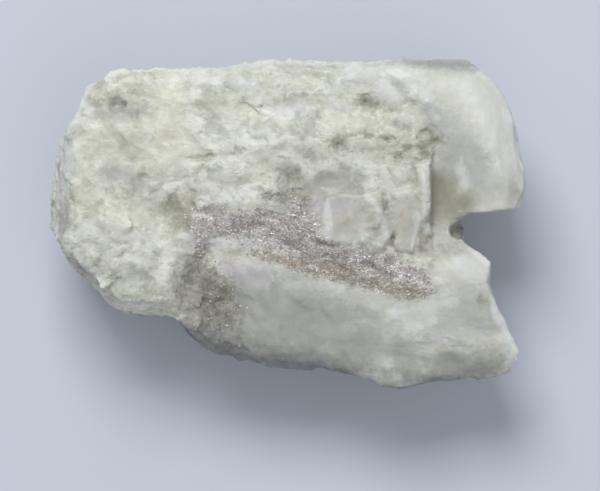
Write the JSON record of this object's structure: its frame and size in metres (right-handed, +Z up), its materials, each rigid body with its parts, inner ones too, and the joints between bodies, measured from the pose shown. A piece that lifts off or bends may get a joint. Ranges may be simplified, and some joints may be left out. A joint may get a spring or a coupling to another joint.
{
  "type": "tourmaline in albite specimen",
  "caption": "Broken hand specimen of white albite with a seam of fine-grained tourmaline across its top; rests on a small flat spot.",
  "frame": {"origin": "middle of the stone's footprint, on the surface that it rests on", "axes": "+X along the stone's length towards the bite in its side, +Y towards its long straight side, +Z up, out of the face that shows the seam"},
  "size_m": [0.0912, 0.063, 0.0369],
  "materials": {
    "albite": "freshly broken massive albite: milky, partly translucent, sugary above the seam and smooth below it"
  },
  "bodies": {
    "root": {"albite_with_tourmaline": "albite"}
  },
  "joints": []
}
